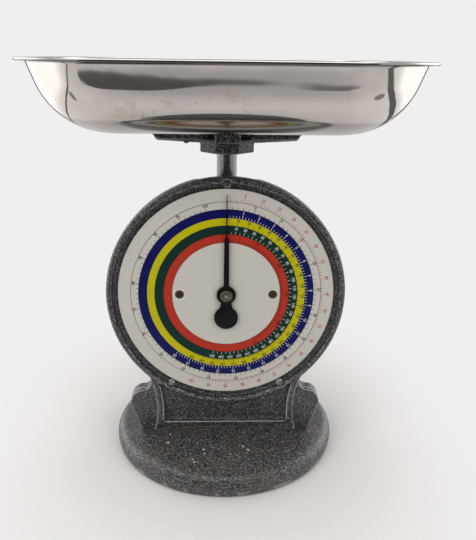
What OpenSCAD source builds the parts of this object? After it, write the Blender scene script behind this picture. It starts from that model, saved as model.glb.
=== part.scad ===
// Counter spring scale for coins: a round dial housing on a round foot, an oblong steel pan above.
// Millimetres, +Z up, the dial faces -Y. The origin is on the table, below the axis of the post.

/* [Base] */
// Radius of the round foot where it meets the table
base_r = 95.5; // [80:0.5:115]
// Height of the crowned top at its middle
base_h = 22; // [20:0.5:26]
// Radius of the crown's curve
base_crown_r = 666; // [500:1:900]
// Radius of the foot's rounded shoulder
shoulder_r = 9.5; // [6:0.5:10]
// Thickness of the foot's casting
base_wall = 5; // [4:0.5:6]
// Height that the rubber feet hold the foot's rim off the table
rim_gap = 0.8; // [0.5:0.1:2]
// Radius of a rubber foot
foot_r = 6.5; // [5:0.5:8]
// Distance of each rubber foot from the axis
foot_ring_r = 77; // [60:0.5:80]

/* [Dial] */
// Radius of the printed dial
dial_r = 88.9; // [74:0.1:107]
// Height of the dial's centre above the table
dial_h = 144.2; // [136:0.1:170]
// Distance from the post's axis forward to the dial's face
dial_front = 29.5; // [28:0.1:36]
// Thickness of the dial plate
dial_t = 1; // [0.6:0.1:1.5]
// Distance of each dial screw from the centre
dial_screw_x = 38.5; // [30:0.5:45]
// Radius of a dial screw's head
dial_screw_head_r = 3.6; // [2.5:0.1:4.5]
// Turn of the pointer at full load, in degrees
full_scale = 350; // [300:1:355]

/* [Housing] */
// Width of the bezel ring outside the dial
bezel_w = 9.85; // [9:0.05:12]
// Radius of the bezel's bead
bead_r = 3.3; // [2.5:0.1:4]
// Wall of the castings
wall = 3.5; // [3:0.1:4.5]
// Distance from the post's axis back to the rear face
rear_depth = 30; // [30:0.5:40]
// Half width of the pedestal's ears
ear_w = 81.3; // [76:0.1:90]
// Radius of the rear opening
rear_hole_r = 70; // [60:0.5:74]
// Thickness of the back cover
cover_t = 1.5; // [1:0.1:3]
// Distance of the bezel screws from the dial's centre, out from the dial's edge
bezel_screw_out = 4; // [3.5:0.1:4.5]
// Half width of the flat round the post on top of the housing
top_flat_w = 26; // [20:0.5:32]

/* [Post and pan support] */
// Radius of the post
stem_r = 8.2; // [7:0.1:10]
// Height of the support's hub above the top of the bezel, unloaded
hub_gap = 16.4; // [16:0.1:24]
// Width of the eight-sided hub across its flats
hub_w = 43.5; // [36:0.5:52]
// Height of the support from the hub's underside to the pan
support_h = 19.9; // [18:0.1:26]
// Half length of the side arms
arm_x = 61; // [50:0.5:73]
// Half length of the front and rear arms
arm_y = 34; // [30:0.5:40]
// Width of an arm
arm_w = 19.8; // [16:0.1:24]

/* [Pan] */
// Length over the flange
pan_len = 306; // [255:1:368]
// Width over the flange
pan_wid = 234; // [210:1:281]
// Depth from the flange to the underside
pan_depth = 53; // [46:0.5:63]
// Corner radius at the outside of the flange
pan_corner_r = 76; // [72:0.5:90]
// Width of the flange
pan_flange = 7; // [5:0.5:9]
// Thickness of the sheet
pan_t = 0.9; // [0.7:0.1:1.5]
// Radius of the curve between wall and bottom
pan_curve_r = 55.6; // [44:0.1:57]
// Lean of the straight wall, in degrees from upright
pan_lean = 20; // [16:1:24]
// Radius of the rolled edge
pan_bead_r = 1.1; // [0.8:0.1:1.6]

/* [Pointer work] */
// Teeth of the pinion
pinion_teeth = 12; // [10:1:14]
// Tooth module
tooth_m = 0.4; // [0.35:0.01:0.5]
// Radius of the arbor in its front bush
arbor_r = 1.8; // [1.5:0.1:2.2]
// Distance of the pointer's tip inward from the dial's edge
pointer_tip_in = 4.4; // [2.9:0.1:28.9]
// Radius of the pointer's hub
pointer_hub_r = 8; // [6.5:0.1:9]
// Radius of the pointer's tail
pointer_tail_r = 9.9; // [8:0.1:11]
// Distance from the centre to the middle of the tail
pointer_tail_d = 19.9; // [18:0.1:24]
// Gap between the dial's face and the pointer
pointer_gap = 1.7; // [1.2:0.1:3]

/* [Springs and levers] */
// Distance of each spring from the post's axis
spring_x = 27; // [25:0.5:30]
// Radius to the middle of the wire
coil_r = 5.3; // [4.5:0.1:6]
// Radius of the wire
wire_r = 0.9; // [0.7:0.05:1.1]
// Turns of each spring
coil_turns = 23; // [14:1:24]
// Distance of the levers' fixed pivots from the post's axis
lever_pivot_x = 42; // [40:0.5:46]
// Radius of the levers' pins
pin_r = 1.5; // [1.2:0.1:2]

/* [Clearances] */
// Radial gap of a turning shaft in its bore
run_gap = 0.05; // [0.03:0.01:0.1]
// Radial gap of a screw in its clearance hole
screw_gap = 0.3; // [0.2:0.05:0.5]
// Gap between pieces that move past each other
move_gap = 0.4; // [0.3:0.05:0.6]
// Gap below castings that stand on the crowned foot
seat_gap = 0.1; // [0.05:0.05:0.3]

/* [Hidden] */
$fn = 96;

// Radius of the bead between post and hub
fillet_r = 2.5;

// Overlap that joins pieces of one casting, and overshoot of a cut
eps = 0.01;
over = 1;

// Foot
shoulder_x = base_r + 1.1 - shoulder_r;
crown_run = base_crown_r - shoulder_r;
shoulder_z = base_h - base_crown_r + sqrt(crown_run * crown_run - shoulder_x * shoulder_x);
crown_edge_r = shoulder_x * base_crown_r / crown_run;
rim_curve_r = 16;
rim_wall = 7.5;
base_bolt_x = 64;
base_bolt_y = 11;
base_bolt_r = 2.5;
base_lug_z = 13;

// Planes from front to back, as distances forward of the post's axis
web_front = dial_front - dial_t;
web_t = 2.5;
web_back = web_front - web_t;
split = web_back - 1;
ear_front = dial_front + 0.5;
rib_front = dial_front + 2.1;
panel_front = dial_front - 2.5;
plate_t = 2.5;
plate_back = web_back - plate_t;
pointer_back = dial_front + pointer_gap;
pointer_t = 0.9;
pointer_front = pointer_back + pointer_t;
pointer_len = dial_r - pointer_tip_in;

// Bezel
ring_r = dial_r + bezel_w;
bead_x = ring_r - bead_r;
groove_r = dial_r + 0.4;
cove_r = 3.6;
cove_x = dial_r + 1.8;
cove_s = dial_front + 0.7;
web_inner_r = dial_r - 27;
bezel_screw_ring = dial_r + bezel_screw_out;
bezel_screw_r = 1.25;
bezel_head_r = 3.2;
bezel_seat = dial_front - 0.6;
bezel_turns = [0, 150, 210];
flange_r = ring_r - 0.35;
flange_back = split - 7;

// Pedestal, from the table up
ear_z = 45.5;
ear_r = 10.9;
ear_x = ear_w - ear_r;
ear_foot_w = ear_w - 10;
cove_corner_x = ear_x + 0.6;
cove_corner_r = 7.6;
neck_w = cove_corner_x - cove_corner_r;
foot_z = base_h - 6;
rib_mid_x = 58.3;
rib_curve = 75;
rib_curve_z = 39.5;
rib_in_x = 52.8;
rib_in_curve = 112;
rib_in_z = 36;
sill_z = 27;
rear_ped_back = rear_depth - 6;

// Half width of the rear pedestal, and the thickness of the ears on its front edge
rear_core_w = ear_w - 17;
rear_ear_t = 9;

// Top of the housing
flange_top = dial_h + ring_r - 3.65;
pad_z = dial_h + ring_r - 7.45;
pad_t = 4;
stem_hole_r = stem_r + 1.6;
zero_y = 18;

// Pinion and rack
pinion_r = pinion_teeth * tooth_m / 2;
tooth_pitch = PI * tooth_m;
travel = pinion_r * full_scale * PI / 180;
pinion_front = 20;
pinion_back = 14;
pinion_bore = 1.1;
rack_front = 19;
rack_back = 15;
rack_w = 4.6;
rack_root = pinion_r + tooth_m * 1.15;
rack_tip = pinion_r - tooth_m * 0.82;

// Carriage and springs
hub_z = dial_h + ring_r + hub_gap;
support_z = hub_z + support_h;
yoke_top = pad_z - 13.5;
yoke_t = 8;
yoke_w = 16.5;
rail_x = 15;
rail_t = 3;
rail_y = 4;
bar_top = dial_h - 42;
bar_t = 6;
bar_w = spring_x + 7;
hanger_z = pad_z - 31.5;
hanger_t = 6;
coil_rings = 8;
plug_r = (coil_r - wire_r) * cos(180 / coil_rings) - 0.08;
plug_h = 10;
coil_seat_low = 0.7;
coil_seat_high = 0.2;
coil_pitch = (hanger_z - bar_top - 2 * wire_r - coil_seat_low - coil_seat_high) / coil_turns;
stud_r = 2.5;
nut_h = 3.5;
nut_r = 4.6;

// Levers: level at half travel, so each end swings the same way above and below
lever_reach = rail_x + lever_pivot_x;
lever_len = sqrt(lever_reach * lever_reach + travel * travel / 4);
lever_tilt = asin(travel / 2 / lever_len);
upper_pin_z = hanger_z - 16;
lower_pin_z = bar_top + 8;
lever_y = 7.5;
lever_t = 2.5;
lever_h = 9;
rear_plate_y = 17;
rear_plate_t = 2.5;

// Movement frame
plate_w = 45;
plate_top = dial_h + dial_r - 18;
plate_bottom = dial_h - dial_r + 18;
pillar_x = 40;
pillar_r = 3.5;
pillar_low = bar_top - 10;
pillar_high = hanger_z - 14;
frame_screw_x = 30;
frame_screw_z = dial_r - 22.5;

// Radius about the dial's centre within which the frame's plates clear the castings
front_room_r = groove_r - 4 - move_gap;
rear_room_r = ring_r - 9.6 - wall - move_gap;

// Small screws
small_r = 1.5;
small_head_r = 2.8;
small_head_h = 1.8;
slot_w = 0.8;
slot_d = 0.8;

// Pan
pan_z = support_z;
pan_top = pan_z + pan_depth;
curve_rise = pan_curve_r * (1 - sin(pan_lean));
curve_run = pan_curve_r * cos(pan_lean);
lean_run = (pan_depth - curve_rise) * tan(pan_lean);
pan_body_r = pan_corner_r - pan_flange;
pan_floor_r = pan_body_r - lean_run - curve_run;
pan_cx = pan_len / 2 - pan_corner_r;
pan_cy = pan_wid / 2 - pan_corner_r;

echo(travel=travel, lever_len=lever_len, lever_tilt=lever_tilt, hub_z=hub_z, pan_top=pan_top);
echo(coil_gap=coil_pitch - 2 * wire_r);

// Turns a shape drawn round the dial's centre upright: x stays, y becomes height, z comes forward
module upright() {
    translate([0, 0, dial_h]) rotate([90, 0, 0]) children();
}

// Slab of an outline drawn in true x and height, between two distances forward of the axis
module slab(back, front) {
    translate([0, -back, 0]) rotate([90, 0, 0]) linear_extrude(front - back) children();
}

// Shaft along Y between two distances forward of the axis
module shaft(r, back, front) {
    translate([0, -back, 0]) rotate([90, 0, 0]) cylinder(r=r, h=front - back);
}

module both() {
    children();
    mirror([1, 0, 0]) children();
}

// The space below the crowned top of the foot, with a gap over it
module crown_cut(gap) {
    translate([0, 0, base_h - base_crown_r]) sphere(base_crown_r + gap, $fn=200);
}

// Round screw with a domed, slotted head; the head's underside is at z 0
module screw(r, head_r, head_h, length) {
    translate([0, 0, -length]) cylinder(r=r, h=length + eps);
    difference() {
        intersection() {
            cylinder(r=head_r, h=head_h);
            translate([0, 0, head_h - head_r * 1.6]) sphere(head_r * 1.6);
        }
        translate([-head_r - over, -slot_w / 2, head_h - slot_d])
            cube([2 * head_r + 2 * over, slot_w, slot_d + over]);
    }
}

module hex_nut(across, bore, h) {
    difference() {
        linear_extrude(h) circle(r=across / sqrt(3), $fn=6);
        translate([0, 0, -over]) cylinder(r=bore, h=h + 2 * over);
    }
}

// Half section of the foot
module base_section() {
    intersection() {
        translate([0, base_h - base_crown_r]) circle(base_crown_r, $fn=400);
        translate([0, rim_gap]) square([crown_edge_r, base_h]);
    }
    intersection() {
        translate([shoulder_x, shoulder_z]) circle(shoulder_r);
        translate([crown_edge_r - eps, shoulder_z - eps]) square([shoulder_r + over, shoulder_r + over]);
    }
    intersection() {
        translate([base_r + 1.1 - rim_curve_r, shoulder_z]) circle(rim_curve_r);
        translate([shoulder_x, rim_gap]) square([shoulder_r + over, shoulder_z - rim_gap]);
    }
}

module base_hollow() {
    intersection() {
        translate([0, base_h - base_crown_r]) circle(base_crown_r - base_wall, $fn=400);
        translate([0, -over]) square([base_r - rim_wall, base_h]);
    }
}

module at_base_bolts() {
    for (x = [-1, 1], y = [-1, 1]) translate([x * base_bolt_x, y * base_bolt_y, 0]) children();
}

module at_feet() {
    for (a = [45:90:315]) rotate([0, 0, a]) translate([foot_ring_r, 0, 0]) children();
}

module base() {
    color("dimgray") difference() {
        union() {
            rotate_extrude($fn=200) difference() {
                base_section();
                base_hollow();
            }
            intersection() {
                union() {
                    at_base_bolts() translate([0, 0, base_lug_z]) cylinder(r=8, h=base_h);
                    at_feet() translate([0, 0, 3]) cylinder(r=foot_r + 1.5, h=base_h);
                }
                crown_cut(-base_wall + 0.5);
            }
        }
        at_base_bolts() cylinder(r=base_bolt_r + screw_gap, h=base_h + over);
        at_feet() cylinder(r=3 + run_gap, h=9);
    }
}

module feet() {
    color("black") at_feet() {
        cylinder(r=foot_r, h=3);
        translate([0, 0, 3 - eps]) cylinder(r=3, h=5.5);
    }
}

module base_bolts() {
    color("silver") at_base_bolts() {
        translate([0, 0, base_lug_z]) mirror([0, 0, 1]) difference() {
            linear_extrude(3.6) circle(r=8 / sqrt(3), $fn=6);
            translate([0, 0, 3]) cylinder(r=2, h=over);
        }
        translate([0, 0, base_lug_z - eps]) cylinder(r=base_bolt_r, h=base_h - base_lug_z + 8);
    }
}

// Half section of the bezel, drawn as radius and distance forward
module bezel_section() {
    difference() {
        union() {
            translate([groove_r, split]) square([ring_r - groove_r, dial_front - split]);
            translate([bead_x, dial_front]) circle(bead_r);
            translate([web_inner_r, web_back]) square([groove_r - web_inner_r + eps, web_t]);
            translate([groove_r - 4, split]) square([4 + eps, web_back - split + eps]);
        }
        translate([cove_x, cove_s]) circle(cove_r);
        translate([groove_r - 0.2, web_front - 1.4]) square([cove_x - groove_r, 3]);
    }
}

// Outline of the ears and the plate between them, in true height
module ear_outline() {
    both() {
        polygon([[-eps, foot_z], [ear_foot_w, foot_z], [ear_x + ear_r * cos(17), ear_z - ear_r * sin(17)],
                 [ear_x, ear_z], [-eps, ear_z]]);
        translate([ear_x, ear_z]) circle(ear_r);
        translate([-eps, ear_z - over]) square([ear_x + eps, ear_r + over]);
        difference() {
            translate([-eps, ear_z + ear_r - over]) square([cove_corner_x + eps, cove_corner_r + over]);
            translate([cove_corner_x, ear_z + ear_r + cove_corner_r]) circle(cove_corner_r);
        }
        translate([-eps, ear_z + ear_r]) square([neck_w + eps, cove_corner_r + 6]);
    }
}

// Outline of the rear casting's pedestal behind its ears; inset moves its sides inward
module rear_outline(inset) {
    both() polygon([[-eps, foot_z - over], [rear_core_w - inset, foot_z - over],
                    [rear_core_w - inset, 60], [rear_core_w - 8 - inset, 70], [-eps, 70]]);
}

// One curved rib beside the panel
module rib() {
    difference() {
        intersection() {
            translate([rib_in_x - 4, foot_z]) square([18, dial_h - 70 - foot_z]);
            translate([rib_in_x + rib_in_curve, rib_in_z]) circle(rib_in_curve, $fn=300);
        }
        translate([rib_mid_x + rib_curve, rib_curve_z]) circle(rib_curve, $fn=300);
    }
}

module bezel_holes(r, back, front) {
    for (a = bezel_turns) upright() rotate([0, 0, -a]) translate([0, bezel_screw_ring, back])
        cylinder(r=r, h=front - back);
}

module pedestal_front() {
    slab(split, panel_front) ear_outline();
    slab(split, ear_front) difference() {
        ear_outline();
        square([2 * rib_in_x + 4, 2 * dial_h], center=true);
    }
    slab(split, rib_front) {
        both() rib();
        translate([-rib_in_x - 1, foot_z]) square([2 * rib_in_x + 2, sill_z - foot_z]);
    }
}

module front_housing() {
    color("dimgray") difference() {
        union() {
            upright() rotate_extrude($fn=200) bezel_section();
            difference() {
                pedestal_front();
                upright() translate([0, 0, split - over]) cylinder(r=bead_x, h=10);
            }
        }
        crown_cut(seat_gap);
        bezel_holes(bezel_head_r + 0.6, bezel_seat, bezel_seat + 8);
        bezel_holes(bezel_screw_r + screw_gap, split - over, bezel_seat + over);
        frame_screw_holes(small_r + run_gap, web_back - over, web_front - 0.5);
    }
}

module bezel_screws() {
    color("gray") for (a = bezel_turns) upright() rotate([0, 0, -a])
        translate([0, bezel_screw_ring, bezel_seat])
            screw(bezel_screw_r, bezel_head_r, 2.2, bezel_seat - flange_back + 1);
}

// Half section of the rear casting, drawn as radius and distance forward
module drum_section() {
    polygon([[0, split], [flange_r, split], [flange_r, flange_back], [flange_r - 2.6, flange_back - 1],
             [ring_r - 5.75, 0], [ring_r - 9.6, 5 - rear_depth], [ring_r - 11.2, 2 - rear_depth],
             [ring_r - 14.75, -rear_depth], [0, -rear_depth]]);
}

module drum_hollow_section() {
    polygon([[0, split + over], [ring_r - 3.9, split + over], [ring_r - 3.9, flange_back + 2],
             [ring_r - 6.4, flange_back - 1], [ring_r - 5.75 - wall, 0],
             [ring_r - 9.6 - wall, 6 - rear_depth], [ring_r - 16, wall - rear_depth],
             [0, wall - rear_depth]]);
}

module at_cover_screws() {
    for (a = [45:90:315]) upright() rotate([0, 0, a]) translate([rear_hole_r + 3.4, 0, 0]) children();
}

module top_pad() {
    translate([-top_flat_w, -flange_back - eps, pad_z - pad_t])
        cube([2 * top_flat_w, flange_back + rear_depth - 4, pad_t]);
}

module rear_housing() {
    color("dimgray") difference() {
        union() {
            difference() {
                union() {
                    upright() rotate_extrude($fn=200) drum_section();
                    slab(-rear_ped_back, split) rear_outline(0);
                    slab(split - rear_ear_t, split) ear_outline();
                }
                upright() rotate_extrude($fn=200) drum_hollow_section();
                difference() {
                    slab(wall - rear_ped_back, split + over) rear_outline(wall);
                    upright() translate([0, 0, flange_back])
                        cylinder(r=flange_r, h=split - flange_back + 2 * over);
                }
                translate([-top_flat_w, -flange_back, pad_z])
                    cube([2 * top_flat_w, 2 * rear_depth, ring_r]);
                translate([-top_flat_w, -split - over, flange_top])
                    cube([2 * top_flat_w, split + over, ring_r]);
            }
            intersection() {
                top_pad();
                upright() rotate_extrude() drum_section();
            }
            intersection() {
                bezel_holes(4, 6, split);
                upright() rotate_extrude() drum_section();
                translate([-ring_r, -split, 0]) cube([2 * ring_r, split, flange_top]);
            }
            intersection() {
                at_base_bolts() cylinder(r=6, h=34);
                slab(-rear_ped_back, split) rear_outline(0);
            }
        }
        crown_cut(seat_gap);
        upright() translate([0, 0, -rear_depth - over]) cylinder(r=rear_hole_r, h=wall + 2 * over);
        at_cover_screws() translate([0, 0, -rear_depth - over])
            cylinder(r=small_r + run_gap, h=wall + 2 * over);
        bezel_holes(bezel_screw_r + run_gap, 4, split + over);
        at_base_bolts() cylinder(r=base_bolt_r + run_gap, h=31);
        translate([0, 0, pad_z - 2 * pad_t]) rotate([0, 0, 90]) cylinder(r=stem_hole_r, h=4 * pad_t);
        translate([0, zero_y, pad_z - 2 * pad_t]) cylinder(r=4 + run_gap, h=4 * pad_t);
        translate([0, zero_y, pad_z - 3 * pad_t]) cylinder(r=5.5, h=2 * pad_t);
    }
}

module back_cover() {
    color("dimgray") difference() {
        upright() translate([0, 0, -rear_depth - cover_t]) cylinder(r=rear_hole_r + 6.4, h=cover_t);
        at_cover_screws() translate([0, 0, -rear_depth - cover_t - over])
            cylinder(r=small_r + screw_gap, h=cover_t + 2 * over);
    }
}

module cover_screws() {
    color("silver") at_cover_screws() translate([0, 0, -rear_depth - cover_t]) mirror([0, 0, 1])
        screw(small_r, small_head_r, small_head_h, wall + cover_t - 0.3);
}

module dial_plate() {
    color("ivory") difference() {
        union() {
            upright() translate([0, 0, web_front]) cylinder(r=dial_r, h=dial_t, $fn=200);
            both() translate([dial_screw_x, 0, dial_h]) difference() {
                shaft(5.6, dial_front - eps, dial_front + 0.4);
                shaft(4.2, dial_front, dial_front + over);
            }
        }
        both() translate([dial_screw_x, 0, dial_h])
            shaft(small_r + screw_gap, web_front - over, dial_front + over);
        translate([0, 0, dial_h]) shaft(4.2, web_front - over, dial_front + over);
    }
}

module dial_screws() {
    color("saddlebrown") both() translate([dial_screw_x, -dial_front, dial_h]) rotate([90, 0, 0])
        screw(small_r, dial_screw_head_r, 1.3, dial_front - plate_back);
}

module frame_screw_holes(r, back, front) {
    for (x = [-1, 1], z = [-1, 1]) translate([x * frame_screw_x, 0, dial_h + z * frame_screw_z])
        shaft(r, back, front);
}

module at_pillars() {
    for (x = [-pillar_x, pillar_x], z = [pillar_low, pillar_high]) translate([x, 0, z]) children();
}

module front_plate() {
    color("silver") difference() {
        union() {
            intersection() {
                slab(plate_back, web_back) translate([-plate_w, plate_bottom])
                    square([2 * plate_w, plate_top - plate_bottom]);
                translate([0, 0, dial_h]) shaft(front_room_r, plate_back - over, web_back + over);
            }
            both() translate([dial_screw_x, 0, dial_h]) shaft(4.5, web_back - eps, web_front);
        }
        both() translate([dial_screw_x, 0, dial_h])
            shaft(small_r + run_gap, plate_back - over, web_front + over);
        frame_screw_holes(small_r + screw_gap, plate_back - over, web_back + over);
        at_pillars() shaft(2, plate_back - over, web_back + over);
        translate([0, 0, dial_h]) shaft(4, plate_back - over, web_back + over);
        bridge_holes(small_r + run_gap, plate_back - over, web_back + over);
    }
}

module frame_screws() {
    color("silver") for (x = [-1, 1], z = [-1, 1])
        translate([x * frame_screw_x, -plate_back, dial_h + z * frame_screw_z]) rotate([-90, 0, 0])
            screw(small_r, small_head_r, small_head_h, web_front - 0.7 - plate_back);
}

module rear_plate() {
    color("silver") difference() {
        intersection() {
            translate([-pillar_x - 6, rear_plate_y, pillar_low - 6])
                cube([2 * pillar_x + 12, rear_plate_t, pillar_high - pillar_low + 12]);
            translate([0, 0, dial_h])
                shaft(rear_room_r, -rear_plate_y - rear_plate_t - over, -rear_plate_y + over);
        }
        at_pillars() shaft(2 + run_gap, -rear_plate_y - rear_plate_t - over, -rear_plate_y + over);
        at_lever_pivots() shaft(pin_r, -rear_plate_y - rear_plate_t - over, -rear_plate_y + over);
        translate([-15, rear_plate_y - over, pillar_low + 20])
            cube([30, rear_plate_t + 2 * over, pillar_high - pillar_low - 40]);
    }
}

module frame_pillars() {
    color("silver") at_pillars() {
        shaft(pillar_r, -rear_plate_y, plate_back);
        shaft(2, plate_back - eps, web_back);
        shaft(2, -rear_plate_y - rear_plate_t - nut_h, -rear_plate_y + eps);
    }
}

module frame_nuts() {
    color("silver") at_pillars() translate([0, rear_plate_y + rear_plate_t, 0]) rotate([-90, 0, 0])
        hex_nut(7, 2 + run_gap, nut_h - 0.5);
}

module front_bush() {
    color("goldenrod") translate([0, 0, dial_h]) difference() {
        union() {
            shaft(4, plate_back - eps, web_back + 0.8);
            shaft(5.5, plate_back - 1, plate_back);
        }
        shaft(arbor_r + run_gap, plate_back - 2 * over, web_back + 2 * over);
    }
}

// Screw places of the bracket that holds the rear bush
module bridge_holes(r, back, front) {
    for (z = [-9, 9]) translate([-17, 0, dial_h + z]) shaft(r, back, front);
}

module arbor_bridge() {
    color("silver") difference() {
        union() {
            slab(plate_back - 2, plate_back) translate([-20.5, dial_h - 12]) square([9.5, 24]);
            slab(9.5, plate_back) translate([-13, dial_h - 5]) square([2, 10]);
            slab(9.5, 12) translate([-13, dial_h - 5]) square([13, 10]);
            translate([0, 0, dial_h]) shaft(5, 9.5, 12);
        }
        translate([0, 0, dial_h]) shaft(3, 9.5 - over, 12 + over);
        bridge_holes(small_r + screw_gap, plate_back - 2 - over, plate_back + over);
    }
}

module rear_bush() {
    color("goldenrod") translate([0, 0, dial_h]) difference() {
        union() {
            shaft(3, 9.5, 12.8);
            shaft(4, 12, 12.8);
        }
        shaft(pinion_bore + run_gap, 8, 14);
    }
}

module bridge_screws() {
    color("silver") for (z = [-9, 9]) translate([-17, 2 - plate_back, dial_h + z]) rotate([-90, 0, 0])
        screw(small_r, small_head_r, small_head_h, 2 + plate_t - 0.2);
}

module at_lever_pivots() {
    for (z = [upper_pin_z, lower_pin_z]) translate([-lever_pivot_x, 0, z - travel / 2]) children();
}

module lever_pivots() {
    color("silver") at_lever_pivots() {
        shaft(pin_r, -rear_plate_y - rear_plate_t, -lever_y);
        shaft(pin_r + 1.5, -rear_plate_y, -lever_y - lever_t - 0.3);
        shaft(pin_r + 1.2, -lever_y + 0.3, -lever_y + 1.3);
        shaft(pin_r, -lever_y - eps, -lever_y + 0.5);
    }
}

// Lever with a round eye at its fixed pivot and an open fork at the carriage
module lever(pin_z) {
    pivot_z = pin_z - travel / 2;
    color("silver") translate([-lever_pivot_x, lever_y, pivot_z]) rotate([0, -lever_tilt, 0])
        rotate([90, 0, 0]) translate([0, 0, -lever_t]) linear_extrude(lever_t) difference() {
            union() {
                circle(lever_h / 2);
                translate([0, -lever_h / 2 + 1.5]) square([lever_len, lever_h - 3]);
                translate([lever_len - 6, -lever_h / 2]) square([11, lever_h]);
            }
            circle(pin_r + run_gap);
            translate([lever_len - pin_r - 0.6, -pin_r - 0.1]) square([9, 2 * pin_r + 0.2]);
        }
}

module upper_lever() {
    lever(upper_pin_z);
}

module lower_lever() {
    lever(lower_pin_z);
}

module zero_bush() {
    color("goldenrod") translate([0, zero_y, 0]) difference() {
        union() {
            translate([0, 0, pad_z - pad_t]) cylinder(r=4, h=pad_t + eps);
            translate([0, 0, pad_z]) cylinder(r=5.5, h=1.2);
        }
        translate([0, 0, pad_z - 2 * pad_t]) cylinder(r=stud_r + run_gap, h=4 * pad_t);
    }
}

module zero_screw() {
    color("silver") translate([0, zero_y, 0]) {
        translate([0, 0, hanger_z - 4]) cylinder(r=stud_r, h=pad_z + 7.6 - hanger_z + 4);
        translate([0, 0, pad_z - pad_t - 2.3]) cylinder(r=stud_r + 1.6, h=2);
    }
}

module zero_knob() {
    color("goldenrod") translate([0, zero_y, pad_z + 1.5]) difference() {
        cylinder(r=6.3, h=6);
        translate([0, 0, -over]) cylinder(r=stud_r, h=9);
        for (a = [0:15:345]) rotate([0, 0, a]) translate([6.5, 0, -over]) cylinder(r=0.5, h=9, $fn=16);
    }
}

module at_springs() {
    for (x = [-spring_x, spring_x]) translate([x, 0, 0]) children();
}

// Beam that the springs hang from: it passes behind the carriage
module hanger() {
    color("silver") difference() {
        union() {
            translate([-spring_x - 5, zero_y - 4, hanger_z]) cube([2 * spring_x + 10, 8, hanger_t]);
            both() translate([spring_x - 5, -6, hanger_z]) cube([10, zero_y + 4 + 6 - eps, hanger_t]);
        }
        at_springs() translate([0, 0, hanger_z - over]) cylinder(r=stud_r + run_gap, h=hanger_t + 2 * over);
        translate([0, zero_y, hanger_z - over]) cylinder(r=stud_r + run_gap, h=hanger_t + 2 * over);
    }
}

module top_plugs() {
    color("gray") at_springs() {
        translate([0, 0, hanger_z - plug_h]) cylinder(r=plug_r, h=plug_h);
        translate([0, 0, hanger_z - eps]) cylinder(r=stud_r, h=hanger_t + nut_h + 1);
    }
}

module top_nuts() {
    color("silver") at_springs() translate([0, 0, hanger_z + hanger_t]) hex_nut(8, stud_r + run_gap, nut_h);
}

module bottom_plugs() {
    color("gray") at_springs() {
        translate([0, 0, bar_top]) cylinder(r=plug_r, h=plug_h);
        translate([0, 0, bar_top - bar_t - nut_h - 1]) cylinder(r=stud_r, h=bar_t + nut_h + 1 + eps);
    }
}

module bottom_nuts() {
    color("silver") at_springs() translate([0, 0, bar_top - bar_t - nut_h])
        hex_nut(8, stud_r + run_gap, nut_h);
}

// One unbroken tube wound round the plugs, from the carriage's bar up to the hanger
module coil(x) {
    sides = 6;
    steps = coil_rings * coil_turns;
    low = bar_top + wire_r + coil_seat_low;
    high = hanger_z - wire_r - coil_seat_high;
    points = [
        for (i = [0:steps]) let (a = 360 * i / coil_rings, z = low + (high - low) * i / steps)
            for (j = [0:sides - 1]) let (b = 360 * j / sides, q = coil_r + wire_r * cos(b))
                [x + q * cos(a), q * sin(a), z + wire_r * sin(b)]
    ];
    skin = [
        for (i = [0:steps - 1], j = [0:sides - 1]) let (k = (j + 1) % sides, m = i * sides, n = m + sides)
            each [[m + j, n + j, m + k], [n + j, n + k, m + k]]
    ];
    ends = [
        for (j = [1:sides - 2]) let (last = steps * sides)
            each [[0, j, j + 1], [last, last + j + 1, last + j]]
    ];
    color("silver") polyhedron(points, concat(skin, ends));
}

module left_spring() {
    coil(-spring_x);
}

module right_spring() {
    coil(spring_x);
}

// Yoke below the post: top block, two rails, a bar for the springs and a fork for the rack
module carriage() {
    clevis_x = rack_root + rack_w / 2;
    color("silver") difference() {
        union() {
            translate([-yoke_w, -6, yoke_top - yoke_t]) cube([2 * yoke_w, 12, yoke_t]);
            both() translate([rail_x - rail_t / 2, -rail_y, bar_top - bar_t])
                cube([rail_t, 2 * rail_y, yoke_top - bar_top + bar_t]);
            translate([-bar_w, -5, bar_top - bar_t]) cube([2 * bar_w, 10, bar_t]);
            translate([clevis_x - 4.5, -rack_front - 3, bar_top - bar_t]) cube([9, rack_front - 1, 14]);
        }
        translate([clevis_x - 6, -rack_front - 0.3, bar_top - bar_t + 3])
            cube([12, rack_front - rack_back + 0.6, 14]);
        translate([clevis_x, 0, bar_top + 4]) shaft(1.25, rack_back - 8, rack_front + 4);
        at_springs() translate([0, 0, bar_top - bar_t - over])
            cylinder(r=stud_r + run_gap, h=bar_t + 2 * over);
        translate([0, 0, yoke_top - yoke_t - over]) cylinder(r=4 + run_gap, h=yoke_t + 2 * over);
        for (z = [upper_pin_z, lower_pin_z]) translate([rail_x, 0, z])
            shaft(1.1, -rail_y - over, rail_y + over);
    }
}

module carriage_pins() {
    color("silver") for (z = [upper_pin_z, lower_pin_z]) translate([rail_x, 0, z]) {
        shaft(1.1, -rail_y - eps, rail_y);
        shaft(pin_r, -lever_y - lever_t - 0.8, -rail_y);
    }
}

// Toothed strip: the spaces line up with the pinion's teeth when the pan is empty
module rack() {
    count = ceil(travel / tooth_pitch) + 6;
    half = tooth_pitch / 2 * 0.42;
    tip = half - (pinion_r - rack_tip) * tan(20);
    root = half + (rack_root - pinion_r) * tan(20);
    clevis_x = rack_root + rack_w / 2;
    color("goldenrod") difference() {
        slab(rack_back, rack_front) {
            translate([rack_root, bar_top + 0.8])
                square([rack_w, dial_h + (count - 2) * tooth_pitch - bar_top]);
            for (k = [-3:count - 4]) translate([0, dial_h + (k + 0.5) * tooth_pitch])
                polygon([[rack_root + eps, -root], [rack_root + eps, root], [rack_tip, tip],
                         [rack_tip, -tip]]);
        }
        translate([clevis_x, 0, bar_top + 4]) shaft(1.25 + run_gap, rack_back - over, rack_front + over);
    }
}

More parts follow.
